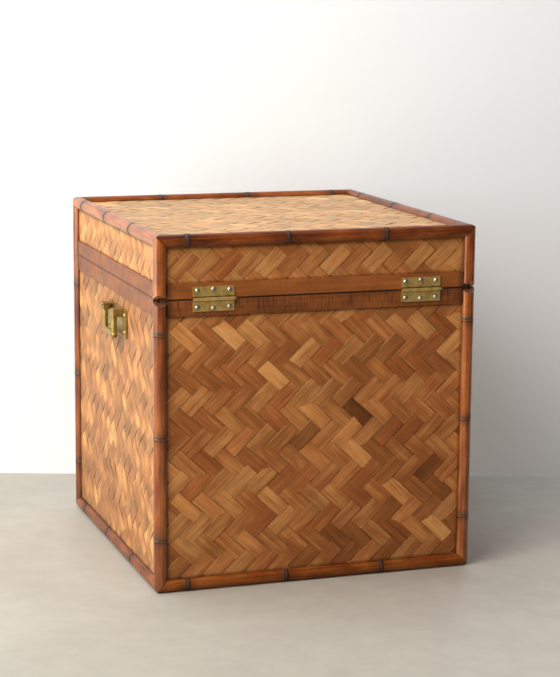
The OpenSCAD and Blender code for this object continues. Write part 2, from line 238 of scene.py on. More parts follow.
SPLIT_RANGE = (
    (0.0, (0.068, 0.022, 0.007)), (0.25, (0.180, 0.057, 0.015)), (0.5, (0.345, 0.117, 0.034)),
    (0.72, (0.610, 0.268, 0.086)), (1.0, (0.800, 0.460, 0.180)),
)
REDDISH, GREENISH = (1.04, 0.95, 0.90), (0.97, 1.04, 1.04)    # tints that the splits lie between
STRAW = (0.70, 0.46, 0.24)                                    # bleached splits, also standing in for a painted sheen
CUT_EDGE = (0.78, 0.46, 0.17)                                 # bare wood along a split's edge
SMUDGE = (0.20, 0.105, 0.045)
SPLIT_SHEEN = (1.0, 0.86, 0.60)
ROD_RANGE = (
    (0.0, (0.088, 0.015, 0.002)), (0.35, (0.228, 0.050, 0.006)),
    (0.65, (0.385, 0.109, 0.019)), (1.0, (0.580, 0.205, 0.050)),
)
NODE_LINE = (0.046, 0.034, 0.027)                             # the dark line around a rod's node
END_GRAIN_RANGE = ((0.35, (0.160, 0.062, 0.030)), (0.65, (0.300, 0.125, 0.060)))
BAND_RANGE = (
    (0.0, (0.050, 0.013, 0.003)), (0.4, (0.180, 0.051, 0.010)),
    (0.7, (0.320, 0.094, 0.018)), (1.0, (0.46, 0.16, 0.040)),
)
PLY_RANGE = ((0.25, (0.42, 0.26, 0.13)), (0.5, (0.56, 0.37, 0.20)), (0.75, (0.66, 0.47, 0.27)))
PLY_STAIN = (0.150, 0.055, 0.018)
BRASS_RANGE = ((0.30, (0.46, 0.30, 0.085)), (0.5, (0.66, 0.45, 0.15)), (0.72, (0.80, 0.58, 0.23)))
NICKEL_RANGE = ((0.3, (0.26, 0.23, 0.17)), (0.6, (0.48, 0.45, 0.38)))
FLOOR_RANGE = ((0.3, (0.314, 0.278, 0.236)), (0.7, (0.398, 0.358, 0.308)))
WALL_PAINT = (0.66, 0.69, 0.73)
WALL_GLOW = (1.0, 0.85, 0.70)


# Materials

BAND_END_SHADE = 13.0                # length of a band's end with painted shade beside the rods
BARREL_CREASE = 3.1            # from the seam to the creases above and below a hinge's barrel
PLY_SKIN = 0.5                 # depth of the panels' outer faces that is stained


def split_bamboo():
    """Woven splits: a tone for each, fibres and cracks along it, pale cut edges, bleaching to straw that is
    partly painted sheen, and painted shade at the splits' edges, beside the rods and bands, and towards the
    floor.
    """
    g = Graph("woven_splits")
    tone, across, seed = g.split(g.attr("tone", "Color"))
    where = g.xyz(g.split(g.attr("UVMap"))[0], across, seed)
    fibres = g.noise(where, (9.0, 9.0, 190.0), 5.0, 0.62)
    fine = g.noise(where, (36.0, 54.0, 190.0), 3.0, 0.6)
    cracks = g.noise(where, (2.7, 4.5, 190.0), 2.0, 0.5)
    cloud = g.noise(where, (24.0, 0.8, 83.0), 2.0)
    streak = g.noise(where, (14.0, 2.6, 57.0), 3.0, 0.6)
    smudge = g.noise(g.position(), 13.0, 4.0, 0.6)
    colour = g.ramp(g.plus(
        tone, g.vary(fibres, 0.07, 0.22), g.vary(streak, 0.08), g.vary(cloud, 0.05), g.vary(smudge, 0.05),
    ), SPLIT_RANGE)
    colour = g.mix(1.0, colour, g.mix(seed, REDDISH, GREENISH), "MULTIPLY")
    colour = g.mix(g.fit(smudge, 0.60, 0.74, 0.0, 0.35, True), colour, SMUDGE)
    # bleaching to straw, partly a painted sheen on the lit top and sides
    colour = g.mix(g.attr("tone", "Alpha"), colour, STRAW)
    pale_edge = g.times(g.fit(across, 0.945, 0.975, 0.0, 0.7), g.above(seed, 0.80))
    colour = g.mix(pale_edge, colour, CUT_EDGE)
    colour = g.shade(
        colour,
        g.fit(fine, 0.25, 0.75, 0.90, 1.08),
        # painted shade: darker towards each split's edges, for the shade in the slits between splits
        g.fit(g.off(across, 0.5), 0.44, 0.5, 1.0, 0.60, True),
        g.fit(g.off(cracks, 0.60), 0.0, 0.022, 0.64, 1.0, True),
        # painted shade beside the rods and bands that frame the mat
        g.fit(g.attr("border", "Fac"), 0.0, 0.0045, 0.60, 1.0, True),
        # painted shade: darker towards the floor
        g.fit(g.height(), 0.0, 0.16, 0.86, 1.0, True),
    )
    g.bump(g.plus(fibres, g.times(fine, 0.5)), 0.16, 0.0005)
    tangent = g.add("ShaderNodeTangent", direction_type="UV_MAP", uv_map="UVMap")
    g.link(tangent.outputs[0], g.bsdf.inputs["Tangent"])
    return g.surface(
        colour=colour, rough=g.fit(fibres, 0.3, 0.7, 0.42, 0.54), specular=0.12, aniso=0.6, aniso_turn=0.25,
        sheen=0.03, sheen_rough=0.45, sheen_tint=SPLIT_SHEEN,
    )


def bamboo_rod(name, specular, coat):
    """Rods: long streaks, dark dashes, scorched nodes with their lines, dirt in the mitre joints, painted
    shade where they sit on the mats and towards the floor, and painted paler undersides and darker tops.
    Their ends at the seam are end grain, painted lighter or darker for how light falls on them."""
    g = Graph(name)
    where = g.attr("rod")
    to_strong, to_faint, to_node = g.split(g.attr("rings"))
    joint, seat, tone = g.split(g.attr("marks"))
    streak = g.noise(where, (11.2, 5.44, 97.6), 5.0, 0.6)
    fine = g.noise(where, (28.0, 48.96, 97.6), 3.0, 0.6)
    patch = g.noise(where, (16.0, 0.9, 37.0), 3.0, 0.6)
    dash = g.noise(where, (95.0, 9.0, 29.0), 2.0, 0.5)
    colour = g.ramp(g.plus(
        g.fit(streak, 0.25, 0.75, 0.14, 0.66), g.fit(patch, 0.3, 0.7, -0.18, 0.30), tone,
        # painted light and shade: undersides painted paler and tops darker, for how light falls on the rods
        g.fit(g.facing_up(), -0.8, 0.8, 0.14, -0.14),
    ), ROD_RANGE)
    strong = g.fit(to_strong, 0.0006, 0.0017, 0.0, 1.0, True)
    faint = g.fit(to_faint, 0.0003, 0.0014, 0.32, 1.0, True)
    height = g.height()
    colour = g.shade(
        colour,
        g.fit(fine, 0.62, 0.74, 1.0, 0.62),
        g.fit(dash, 0.66, 0.72, 1.0, 0.55),
        g.fit(to_node, 0.002, 0.016, 0.62, 1.0, True),
        faint,
        # dirt in the mitre joints, and painted shade where the rod sits on the mats
        g.fit(g.math("MINIMUM", seat, g.times(joint, 2.0)), 0.0, 0.0022, 0.38, 1.0, True),
        # painted shade: darker towards the floor, and more so just above it
        g.fit(height, 0.0, 0.20, 0.80, 1.0, True),
        g.fit(height, 0.0, 0.03, 0.75, 1.0, True),
    )
    colour = g.mix(strong, NODE_LINE, colour)
    end_grain = g.ramp(g.noise(g.position(), (900.0, 900.0, 60.0), 2.0), END_GRAIN_RANGE)
    cut = g.attr("cut", "Fac")
    # end grain, scaled by the painted light and shade kept in the cut attribute
    colour = g.mix(g.above(cut, 0.1), colour, g.shade(end_grain, cut))
    g.bump(g.plus(streak, g.times(fine, 0.4)), 0.18, 0.0008)
    matt = g.fit(g.times(strong, faint), 0.1, 1.0, 0.40, 0.0)
    return g.surface(
        colour=colour, rough=g.plus(g.fit(streak, 0.3, 0.7, 0.26, 0.36), matt),
        specular=specular, coat=coat, coat_rough=0.13,
    )


def band_wood(name, along, out, half, level, marks, closeness, seam):
    """A flat wooden slat with grain along it, painted shade at its ends beside the rods, and dirt and painted
    shade at the seam. along and out are the numbers of its axes, half is half its length, level its shade,
    marks how dark its cross marks are, closeness how many come to a metre, and seam the share of light that
    the dirt and painted shade at the seam leave."""
    g = Graph(name)
    place = g.split(g.position())
    s, t, z = place[along], place[out], place[2]
    where = g.xyz(s, z, t)
    grain = g.noise(where, (6.0, 260.0, 90.0), 5.0, 0.62, 0.4)
    cross = g.noise(where, (closeness, 42.0, 1.0), 4.0, 0.65)
    patch = g.noise(where, (14.0, 30.0, 0.0))
    colour = g.ramp(g.plus(level, g.vary(grain, 0.16, 0.25), g.vary(patch, 0.14)), BAND_RANGE)
    colour = g.shade(
        colour,
        g.fit(cross, 0.50, 0.66, 1.0, 1.0 - marks),
        # dirt and painted shade in the seam
        g.fit(g.off(z, SEAM * MM), 0.0006, 0.0020, seam, 1.0, True),
        # painted shade at the band's ends beside the rods
        g.fit(g.size(s), (half - BAND_END_SHADE) * MM, half * MM, 1.0, 0.40, True),
    )
    g.bump(grain, 0.15, 0.0005)
    return g.surface(colour=colour, rough=g.fit(grain, 0.3, 0.7, 0.40, 0.54), specular=0.32)


def plywood():
    """Pale bare board inside, its grain level on the walls; its outer face, under the mats, is stained."""
    g = Graph("plywood")
    x, y, z = g.split(g.position())
    lying = g.above(g.size(g.facing_up()), 0.5)
    upright = g.math("SUBTRACT", 1.0, lying)
    along = g.plus(x, g.times(y, upright))
    across = g.plus(g.times(y, lying), g.times(z, upright))
    where = g.xyz(along, across, lying)
    rings = g.noise(where, (5.0, 38.0, 1.0), 5.0, 0.6, 0.8)
    fine = g.noise(where, (60.0, 420.0, 1.0))
    colour = g.shade(g.ramp(rings, PLY_RANGE), g.fit(fine, 0.3, 0.7, 0.9, 1.06))
    past_x = g.above(g.size(x), (PANEL_X - PLY_SKIN) * MM)
    past_y = g.above(g.size(y), (PANEL_Y - PLY_SKIN) * MM)
    colour = g.mix(g.math("MAXIMUM", past_x, past_y), colour, PLY_STAIN)
    g.bump(fine, 0.1, 0.0004)
    return g.surface(colour=colour, rough=0.62, specular=0.3)


def brass(name, level):
    """Satin brass, dulled in patches, with dirt and painted shade in the creases beside a hinge's barrel."""
    g = Graph(name)
    where = g.position()
    patina = g.noise(where, 90.0, 5.0, 0.6)
    brush = g.noise(where, (60.0, 900.0, 900.0))
    spots = g.noise(where, 420.0, 2.0)
    to_crease = g.off(g.off(g.height(), SEAM * MM), BARREL_CREASE * MM)
    colour = g.shade(
        g.ramp(patina, BRASS_RANGE),
        g.fit(spots, 0.6, 0.75, level, 0.7 * level),
        # dirt and painted shade in the creases above and below a hinge's barrel
        g.fit(to_crease, 0.0003, 0.0010, 0.30, 1.0, True),
    )
    rough = g.plus(g.fit(patina, 0.3, 0.7, 0.52, 0.40), g.vary(brush, 0.05))
    g.bump(brush, 0.06, 0.0002)
    return g.surface(colour=colour, rough=rough, metal=1.0)


def nickel():
    """Worn plating on the hinges' screws."""
    g = Graph("screw_nickel")
    where = g.position()
    wear = g.noise(where, 260.0, 4.0)
    g.bump(g.noise(where, 900.0, 2.0), 0.05, 0.0002)
    return g.surface(colour=g.ramp(wear, NICKEL_RANGE), rough=g.fit(wear, 0.3, 0.7, 0.38, 0.26), metal=1.0)


SPLITS, PLY, NICKEL = split_bamboo(), plywood(), nickel()
RODS = bamboo_rod("bamboo_rod", specular=0.10, coat=1.0)
SATIN_RODS = bamboo_rod("satin_bamboo_rod", specular=0.22, coat=0.22)
DULL_RODS = bamboo_rod("dull_bamboo_rod", specular=0.16, coat=0.02)
HINGE_BRASS, HANDLE_BRASS = brass("hinge_brass", 1.2), brass("handle_brass", 0.58)


# Meshes

SHARP = math.radians(40)       # an edge that turns more than this stays sharp, or is bevelled


def add_attribute(mesh, name, kind, values):
    """Values for each point of a mesh, kept under a name that a material reads."""
    field = {"FLOAT": "value", "FLOAT_VECTOR": "vector", "FLOAT_COLOR": "color"}[kind]
    layer = mesh.attributes.new(name, kind, "POINT")
    layer.data.foreach_set(field, np.array(values, dtype=np.float32).ravel())


def crease(bm):
    """Smooth shading, apart from sharp edges."""
    for face in bm.faces:
        face.smooth = True
    for edge in bm.edges:
        if len(edge.link_faces) == 2 and edge.calc_face_angle(0) > SHARP:
            edge.smooth = False


def trim(bm, at, away):
    """Cut off what lies beyond a plane, and give the edges of the cut."""
    geometry = bm.verts[:] + bm.edges[:] + bm.faces[:]
    cut = bmesh.ops.bisect_plane(bm, geom=geometry, dist=1e-7, plane_co=at, plane_no=away, clear_outer=True)
    return [e for e in cut["geom_cut"] if isinstance(e, bmesh.types.BMEdge)]


def piece(mesh, material, body, node):
    """The finished mesh as a piece that rides on a body in place of a CAD node."""
    obj = bpy.data.objects.new(mesh.name, mesh)
    bpy.context.collection.objects.link(obj)
    mesh.materials.append(material)
    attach(obj, body)
    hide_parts(node)


# Woven mats, in mm on their faces

DU, DV = 16.38, 15.52          # half steps of the weave's lattice across and up a face
CELL = math.hypot(DU, DV)      # from one crossing to the next along a split
PITCH = 2 * DU * DV / CELL     # from one split to the next, square to them
FLOAT_CELLS = 4                # from the middle of one float to the next, over two splits and under two
STEPS = 4                      # rows of points to a cell
MARGIN = 20.0                  # how far past a mat the splits run before they are trimmed
SPARE = 5                      # splits tried beyond the count that should reach across a mat
LIFT = 0.45                    # half of the rise and fall of a split
THICK = 0.50                   # thickness of a split
CROWN = 0.20                   # rise of a split's middle over its edges
BELOW = 0.15                   # highest point of the splits below the mat's outer plane
SHOULDER = 0.62                # where a split's face bends, as a share of its half width
SHOULDER_RISE = 0.72 * CROWN
ACROSS = (                     # a split's section: shares of its half width, and heights
    (-1.0, -THICK), (-1.0, 0.0), (-SHOULDER, SHOULDER_RISE), (0.0, CROWN),
    (SHOULDER, SHOULDER_RISE), (1.0, 0.0), (1.0, -THICK),
)
FULL, NARROW = (0.95, 1.01), (0.87, 0.94)   # widths of most splits and of some, as shares of the pitch
NARROW_SHARE = 0.16
SHIFT = 0.4                    # how far a split may lie to one side
TWIST, TILT, SWAY = 0.6, 0.7, 0.3           # degrees that splits, floats and places along them are turned
SWAY_RATE = 0.9                # radians of the sway's wave to a cell
OWN_SHARE = 0.9                # spread of whole splits, as a share of their floats' spread
PALE_FROM, PALE = 0.93, 2.6    # the few splits that are paler, by how many spreads
DARK_TO, DARK = 0.06, -2.2     # the few that are darker
CLOUD_U, CLOUD_V = 50.0, 18.0  # size of the patches across many floats
UV_FROM, UV_APART = 40, 3      # cells and metres that keep the splits' fibres apart
BACKING = 1.9                  # depth of the dark sheet behind the splits
# tone of that sheet, dark as painted shade in the gaps between the splits
BACKING_TONE = 0.20


def wave(t):
    """Height of a split, from -1 under to 1 over, t cells from the middle of a float."""
    c = math.cos(math.pi * t / 2)
    return 1.5 * c - 0.5 * c * c * c


def span(corners, axis):
    """Lowest and highest of two corners along an axis, in mm."""
    return sorted(corner.dot(axis) / MM for corner in corners)


class Face:
    """The outer plane of a CAD mat: u runs to its right and v up it."""

    def __init__(self, node, right, up):
        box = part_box(node)
        trunk = (Vector((-HALF_W, -HALF_D, -FOOT)) * MM, Vector((HALF_W, HALF_D, HEIGHT)) * MM)
        trunk_u, trunk_v = span(trunk, right), span(trunk, up)
        self.right, self.up, self.out = right, up, right.cross(up)
        self.origin = self.out * max(corner.dot(self.out) for corner in box)
        (self.low_u, self.high_u), (self.low_v, self.high_v) = span(box, right), span(box, up)
        self.seen_u = (trunk_u[0] + ROD_EDGE, trunk_u[1] - ROD_EDGE)
        self.seen_v = (max(trunk_v[0] + ROD_EDGE, self.low_v), min(trunk_v[1] - ROD_EDGE, self.high_v))

    def point(self, u, v, height=0.0):
        return self.origin + (self.right * u + self.up * v + self.out * height) * MM

    def border(self, u, v):
        """How far inside the rods and bands a point lies, in m."""
        return min(u - self.seen_u[0], self.seen_u[1] - u, v - self.seen_v[0], self.seen_v[1] - v) * MM

    def corners(self):
        return (
            (self.low_u, self.low_v), (self.high_u, self.low_v),
            (self.high_u, self.high_v), (self.low_u, self.high_v),
        )

    def sides(self):
        """A point and the outward direction of each side."""
        low, high = self.point(self.low_u, self.low_v), self.point(self.high_u, self.high_v)
        return (low, -self.right), (high, self.right), (low, -self.up), (high, self.up)


class Weave:
    """How a mat is woven: start is the middle of a falling split's float, tone the mat's shade, fade how far
    it is bleached to straw, which is partly a painted sheen, lean how much paler its falling splits are
    painted for the sheen of their fibres, spread how far floats vary, cloud how far patches across many
    floats do, and noted the shades of splits and floats that stand out."""

    def __init__(self, seed, start, tone, fade=0.0, lean=0.0, spread=0.05, cloud=0.03, noted=None):
        self.seed, self.start, self.noted = seed, start, noted or {}
        self.tone, self.fade, self.lean, self.spread, self.cloud = tone, fade, lean, spread, cloud


class Sheet:
    """The points and faces of a mat, with what its material reads at each point."""

    def __init__(self):
        self.verts, self.faces, self.colours, self.uvs, self.borders = [], [], [], [], []

    def add(self, point, colour, uv, border):
        """Adds a point, and gives its number."""
        self.verts.append(point)
        self.colours.append(colour)
        self.uvs.append(uv)
        self.borders.append(border)
        return len(self.verts) - 1

    def mesh(self, name):
        mesh = bpy.data.meshes.new(name)
        mesh.from_pydata(self.verts, [], self.faces)
        add_attribute(mesh, "tone", "FLOAT_COLOR", self.colours)
        add_attribute(mesh, "border", "FLOAT", self.borders)
        corner_of = np.empty(len(mesh.loops), dtype=np.int32)
        mesh.loops.foreach_get("vertex_index", corner_of)
        uvs = np.array(self.uvs, dtype=np.float32)[corner_of]
        mesh.uv_layers.new(name="UVMap").data.foreach_set("uv", uvs.ravel())
        return mesh


def lattice(face, start):
    """Each split that meets a mat: its family, A falling or B rising, its slope's sign, its number, and the
    points along its middle as cells from its start, u and v."""
    middle_u, middle_v = (face.low_u + face.high_u) / 2, (face.low_v + face.high_v) / 2
    reach_u, reach_v = (face.high_u - face.low_u) / 2 + MARGIN, (face.high_v - face.low_v) / 2 + MARGIN
    count = int(reach_u / DU + reach_v / DV) + int(abs(middle_v - start[1]) / DV) + SPARE
    middle = round((middle_u - start[0]) / (2 * DU))
    cells = [k / STEPS for k in range(-STEPS * count, STEPS * count + 1)]
    for family, sign, shift in (("A", -1, 0.0), ("B", 1, DU)):
        for number in range(middle - count, middle + count):
            first = start[0] + 2 * DU * number + shift
            line = [(t, first + t * DU, start[1] + sign * t * DV) for t in cells]
            line = [p for p in line if abs(p[1] - middle_u) < reach_u and abs(p[2] - middle_v) < reach_v]
            if len(line) > 1:
                yield family, sign, number, line


def lay_split(sheet, face, weave, rng, family, sign, number, line):
    """One split, with a shade and a lie of its own, and of each float's own where that is on top."""
    normal = (-sign * DV / CELL, DU / CELL)
    key, luck = rng.random(), rng.random()
    odd = PALE if luck > PALE_FROM else DARK if luck < DARK_TO else 0.0
    own = rng.gauss(0, OWN_SHARE * weave.spread) + weave.spread * odd
    # painted sheen: falling splits painted paler by the lean, for the sheen of their fibres
    own = weave.tone - sign * weave.lean + weave.noted.get((family, number), own)
    widths = NARROW if rng.random() < NARROW_SHARE else FULL
    half_width = PITCH / 2 * rng.uniform(*widths)
    shift = rng.uniform(-SHIFT, SHIFT)
    twist, sway = math.radians(rng.gauss(0, TWIST)), rng.uniform(0, TURN)
    floats, rows = {}, []
    for t, u, v in line:
        phase = t if family == "A" else t - FLOAT_CELLS / 2
        place = phase / FLOAT_CELLS + 0.5
        tile = math.floor(place)
        if tile not in floats:
            shade = weave.noted.get((family, number, tile), rng.gauss(0, weave.spread))
            floats[tile] = shade, math.radians(rng.gauss(0, TILT))
        shade, tilt = floats[tile]
        inside = min(1.0, max(0.0, 6 - 12 * abs(place - tile - 0.5)))
        slope = math.tan(twist + tilt * inside + math.radians(SWAY) * math.sin(t * SWAY_RATE + sway))
        drift = weave.cloud * noise.noise(Vector((u / CLOUD_U, v / CLOUD_V, weave.seed)))
        height = LIFT * (wave(phase) - 1) - CROWN - BELOW
        row = []
        for a, rise in ACROSS:
            q = a * half_width
            pu, pv = u + normal[0] * (q + shift), v + normal[1] * (q + shift)
            point = face.point(pu, pv, min(height + rise + q * slope, 0.0))
            colour = (own + shade * inside + drift, a * 0.5 + 0.5, key, weave.fade)
            uv = ((t + UV_FROM) * CELL * MM + key * UV_APART, q * MM)
            row.append(sheet.add(point, colour, uv, face.border(pu, pv)))
        rows.append(row)
    for one, two in zip(rows, rows[1:]):
        sheet.faces.extend((one[m], two[m], two[m + 1], one[m + 1]) for m in range(len(ACROSS) - 1))


def lay_backing(sheet, face, fade):
    """A dark sheet that closes the gaps between the splits, its darkness painted shade there."""
    colour = (BACKING_TONE, 0.5, 0.5, fade)
    sheet.faces.append(tuple(
        sheet.add(face.point(u, v, -BACKING), colour, (u * MM, v * MM), 1.0) for u, v in face.corners()
    ))


def woven_mat(node, body, right, up, weave):
    """Splits woven two over and two under, clipped to a mat's own rectangle."""
    rng = random.Random(weave.seed)
    face, sheet = Face(node, right, up), Sheet()
    for family, sign, number, line in lattice(face, weave.start):
        lay_split(sheet, face, weave, rng, family, sign, number, line)
    lay_backing(sheet, face, weave.fade)
    mesh = sheet.mesh("splits_" + node)
    bm = bmesh.new()
    bm.from_mesh(mesh)
    for at, away in face.sides():
        trim(bm, at, away)
    for polygon in bm.faces:
        if polygon.normal.dot(face.out) < -1e-6:
            polygon.normal_flip()
    crease(bm)
    bm.to_mesh(mesh)
    bm.free()
    piece(mesh, SPLITS, body, node)


# Splits of the back mat that stand out pale or dark: family, number, and the float where only one does
BACK_MARKS = {
    ("A", 0): 0.21, ("A", 0, 4): -0.06, ("A", 1, 0): 0.17, ("A", 1, 1): 0.02, ("A", -2, 0): 0.10,
    ("A", -2, 4): -0.12, ("A", -2, 5): -0.16, ("A", 2): -0.05, ("A", 2, 2): -0.30, ("A", 2, 4): -0.14,
    ("A", 5): 0.06, ("A", 8, 0): 0.10, ("A", -4, 2): 0.08, ("A", -10, 4): 0.14, ("A", 10, 0): -0.10,
}
MATS = (
    ("back_weave", "trunk_body", -X, Z, Weave(11, (-132.7, 372.3), 0.535, spread=0.046, noted=BACK_MARKS)),
    ("right_weave", "trunk_body", Y, Z, Weave(15, (-11.0, 362.0), 0.46, 0.13, 0.05, 0.04, 0.30)),
    ("front_weave", "trunk_body", X, Z, Weave(13, (4.0, 380.0), 0.52)),
    ("left_weave", "trunk_body", -Y, Z, Weave(14, (9.0, 368.0), 0.52)),
    ("lid_back_weave", "lid", -X, Z, Weave(36, (-121.2, 506.0), 0.59, spread=0.025)),
    ("lid_right_weave", "lid", Y, Z, Weave(32, (7.0, 501.0), 0.58, 0.18, 0.04, 0.04, 0.20)),
    ("lid_front_weave", "lid", X, Z, Weave(33, (12.0, 507.0), 0.54)),
    ("lid_left_weave", "lid", -Y, Z, Weave(34, (-5.0, 498.0), 0.54)),
    ("lid_top_weave", "lid", X, Y, Weave(51, (6.0, -9.0), 0.43, 0.42, 0.05, 0.08, 0.10)),
)
for mat in MATS:
    woven_mat(*mat)


# Bamboo rods, in mm

RING_PITCH = 150.0                     # from node to node
RING_AT = {"back": 47.0, "front": -51.0, "right": -43.0, "left": -40.0}   # a node, from the rod's middle
RING_REACH = 5                         # nodes looked for to each side of that one
RING_CLEAR = 28.0                      # least distance of a node from an edge rod's end
RING_UPRIGHT, UPRIGHT_RINGS = 78.0, 3  # lowest node of the corner rods, from the floor, and their number
NO_RING = 80.0                         # distance of a node that isn't there
BEVEL_RISE, BEVEL_RUN = 8.8, 12.5      # cut on the back corner rods at the seam: along them, and inwards
CLEAR = 26.0                           # length of a rod's end that the mitre may use
STOP_PITCH = 14.0                      # between cross-sections away from the nodes
SLACK = 0.1                            # keeps the end cross-sections in spite of rounding
ARC = 44                               # steps around a rod from mat to mat
SECTION = ARC + 2                      # points of a cross-section, with the one in the notch
SWELL, SWELL_WIDTH = 0.34, 3.4         # swelling at a node
STRONG_LINE, FAINT_LINE = -1.7, 2.6    # dark lines at a node, from its middle
STRONG_GROOVE, STRONG_WIDTH = 0.30, 0.75
FAINT_GROOVE, FAINT_WIDTH = 0.14, 0.8
EDGE_LINE_SCALE = 0.58                 # distances from the lines on edge rods, so that they look wider
NODE_STEPS = (-11, -7, -4.6, -3.4, -2.7, -2.2, -1.7, -1.2, -0.6, 0, 0.8, 1.5, 2.1, 2.6, 3.1, 3.8, 5, 7.5, 11)
WOBBLES = ((0.06, 0.021), (0.04, 0.063))   # waves in a rod's radius: height, and radians to the mm
GRAIN_APART = 5                        # metres that keep the rods' streaks apart
ROD_TONES = {
    "lid_rod_back": -0.22, "lid_rod_left": -0.22, "lid_rod_front": 0.0, "lid_rod_right": 0.10,
    "base_rod_back": 0.16, "base_rod_right": -0.04,
    "corner_rod_back_right": -0.05, "corner_rod_back_left": 0.03, "corner_rod_front_right": -0.22,
}
TONE_SPREAD = 0.05                     # for the rods not named above
EDGE_RODS = {"lid": SATIN_RODS, "base": DULL_RODS}
END_GRAIN_LIGHT = {"trunk_body": 0.55, "lid": 2.0}   # painted light and shade on the end grain at the seam: the lid's ends, which face down, painted paler, the body's darker


def bell(away, height, width):
    return height * math.exp(-((away / width) ** 2))


def rod_radius(away, wobble):
    """Radius at a distance from a node: a low swelling with a groove at each of its lines."""
    strong = bell(away - STRONG_LINE, STRONG_GROOVE, STRONG_WIDTH)
    faint = bell(away - FAINT_LINE, FAINT_GROOVE, FAINT_WIDTH)
    return min(ROD_R - SWELL + wobble + bell(away, SWELL, SWELL_WIDTH) - (strong + faint), ROD_R)


def to_node(s, rings):
    """Distance to the nearest node, ahead or behind."""
    return min((ring - s for ring in rings), key=abs, default=NO_RING)


def rod_stops(length, rings):
    """Where a rod has cross-sections: evenly along it, and closely at its nodes."""
    stops = set(np.linspace(CLEAR, length - CLEAR, max(3, int(length / STOP_PITCH))).tolist())
    stops.update(ring - step for ring in rings for step in NODE_STEPS)
    return sorted(s for s in stops if CLEAR - SLACK < s < length - CLEAR + SLACK)


def cross_section(r):
    """The points around a rod of a radius and the one in its notch: the angle, the depths in from the two
    outer faces, and the distance from the nearer mat."""
    first = math.acos((SEAT - ROD_R) / r)
    last = 2 * math.pi + math.asin((SEAT - ROD_R) / r)
    for k in range(ARC + 1):
        angle = first + (last - first) * k / ARC
        seat = min(angle - first, last - angle) * r
        yield angle, ROD_R + r * math.cos(angle), ROD_R + r * math.sin(angle), seat
    yield last, SEAT, SEAT, 0.0


def cap(bm, rim, place, length, bevelled, shade):
    """Close a rod's end at the seam with end grain, painted lighter or darker by a shade for how light falls
    on it, and sloped to the back where it is bevelled.
    """
    ends = [bm.faces.new(rim)]
    if bevelled:
        inner, beside = place(length, 0.0, BEVEL_RUN) * MM, place(length, 1.0, BEVEL_RUN) * MM
        slope, tip = place(length - BEVEL_RISE, 0.0, 0.0) * MM, place(length, 0.0, 0.0) * MM
        away = (beside - inner).cross(slope - inner).normalized()
        if away.dot(tip - inner) < 0:
            away = -away
        edges = trim(bm, inner, away)
        ends = [f for f in bm.faces if all(abs(v.co.z - inner.z) < 1e-7 for v in f.verts)]
        ends += bmesh.ops.contextual_create(bm, geom=edges)["faces"]
    grain = bmesh.ops.split(bm, geom=ends)["geom"]
    layer = bm.verts.layers.float["cut"]
    for vert in (g for g in grain if isinstance(g, bmesh.types.BMVert)):
        vert[layer] = shade


def bamboo(node, body, material, length, rings, place, seam=None):
    """A rod notched to sit over the mats' corner. place(s, b, c) is the point s along it and b and c in from
    the two outer faces. Its ends are mitred, apart from one that stops at the seam, "flat" or "bevelled"."""
    rng = random.Random(node)
    key = rng.random()
    phases = rng.uniform(0, TURN), rng.uniform(0, TURN)
    tone = ROD_TONES.get(node, rng.uniform(-TONE_SPREAD, TONE_SPREAD))
    line_scale = 1.0 if seam else EDGE_LINE_SCALE
    stops = rod_stops(length, rings)
    stops = [stops[0]] + stops + [stops[-1]]
    end = len(stops) - 1
    verts, rod, lines, marks = [], [], [], []
    for n, s in enumerate(stops):
        wobble = sum(high * math.sin(s * rate + phase) for (high, rate), phase in zip(WOBBLES, phases))
        for angle, b, c, seat in cross_section(rod_radius(to_node(s, rings), wobble)):
            mitre = max(b, c)
            last = length if seam else length - mitre
            along = mitre if n == 0 else last if n == end else s
            joint = along - mitre if seam else min(along - mitre, last - along)
            away = to_node(along, rings)
            verts.append(place(along, b, c) * MM)
            rod.append((along * MM + key * GRAIN_APART, angle / 2, key))
            lines.append([abs(away - line) * MM * line_scale for line in (STRONG_LINE, FAINT_LINE, 0.0)])
            marks.append((joint * MM, seat * MM, tone))
    around = [(k, (k + 1) % SECTION) for k in range(SECTION)]
    starts = range(0, end * SECTION, SECTION)
    faces = [(n + k, n + m, n + SECTION + m, n + SECTION + k) for n in starts for k, m in around]
    mesh = bpy.data.meshes.new("bamboo_" + node)
    mesh.from_pydata(verts, [], faces)
    add_attribute(mesh, "rod", "FLOAT_VECTOR", rod)
    add_attribute(mesh, "rings", "FLOAT_VECTOR", lines)
    add_attribute(mesh, "marks", "FLOAT_VECTOR", marks)
    add_attribute(mesh, "cut", "FLOAT", [0.0] * len(verts))
    bm = bmesh.new()
    bm.from_mesh(mesh)
    if seam:
        bm.verts.ensure_lookup_table()
        cap(bm, bm.verts[-SECTION:], place, length, seam == "bevelled", END_GRAIN_LIGHT[body])
    bmesh.ops.recalc_face_normals(bm, faces=bm.faces[:])
    crease(bm)
    bm.to_mesh(mesh)
    bm.free()
    piece(mesh, material, body, node)


def edge_place(side, top):
    """The place of a rod along one side of the top or the base."""
    lengthwise = side in ("back", "front")
    half_run, half_out = (HALF_W, HALF_D) if lengthwise else (HALF_D, HALF_W)
    way = 1 if side in ("back", "right") else -1

    def place(s, b, c):
        run, off = s - half_run, way * (half_out - b)
        z = HEIGHT - c if top else max(c - FOOT, 0.0)
        return Vector((run, off, z)) if lengthwise else Vector((off, run, z))

    return place


def corner_place(way_x, way_y, top):
    """The place of an upright rod, s along it up from the floor or down from the top."""
    def place(s, b, c):
        z = HEIGHT - s if top else max(s - FOOT, 0.0)
        return Vector((way_x * (HALF_W - b), way_y * (HALF_D - c), z))

    return place


